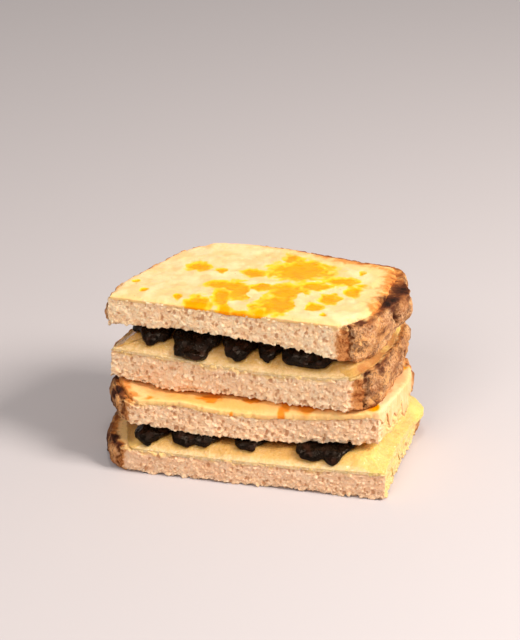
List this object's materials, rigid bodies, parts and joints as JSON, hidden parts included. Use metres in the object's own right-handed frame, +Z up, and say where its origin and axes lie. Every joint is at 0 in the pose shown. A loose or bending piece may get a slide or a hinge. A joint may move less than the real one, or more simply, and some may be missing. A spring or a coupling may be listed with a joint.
{
  "type": "grilled cheese sandwich",
  "caption": "Grilled cheese sandwich, cut through and stacked: crusty bread, melted cheese, dark pickled slices and a browned cheese topping.",
  "frame": {"origin": "middle of the base of the bounding box", "axes": "+Z up, +X along the cut face of the lower half to its right-hand end, -Y the way the cut faces look"},
  "size_m": [0.1304, 0.0866, 0.0734],
  "materials": {
    "bread": "matt, open crumb with a browned crust",
    "cheese": "melted, satin to glossy",
    "topping": "grilled, satin with glossy oily spots",
    "pickle": "wet and wrinkled"
  },
  "bodies": {
    "root": {"lower_bread_under": "bread", "lower_cheese": "cheese", "lower_pickle_1": "pickle", "lower_pickle_2": "pickle", "lower_pickle_3": "pickle", "lower_pickle_4": "pickle", "lower_pickle_5": "pickle", "lower_pickle_6": "pickle", "lower_pickle_7": "pickle", "lower_pickle_8": "pickle", "lower_pickle_9": "pickle", "lower_pickle_10": "pickle", "lower_pickle_11": "pickle", "lower_bread_over": "bread", "lower_topping": "topping", "upper_bread_under": "bread", "upper_cheese": "cheese", "upper_pickle_1": "pickle", "upper_pickle_2": "pickle", "upper_pickle_3": "pickle", "upper_pickle_4": "pickle", "upper_pickle_5": "pickle", "upper_pickle_6": "pickle", "upper_pickle_7": "pickle", "upper_pickle_8": "pickle", "upper_pickle_9": "pickle", "upper_pickle_10": "pickle", "upper_pickle_11": "pickle", "upper_pickle_12": "pickle", "upper_bread_over": "bread", "upper_topping": "topping"}
  },
  "joints": []
}
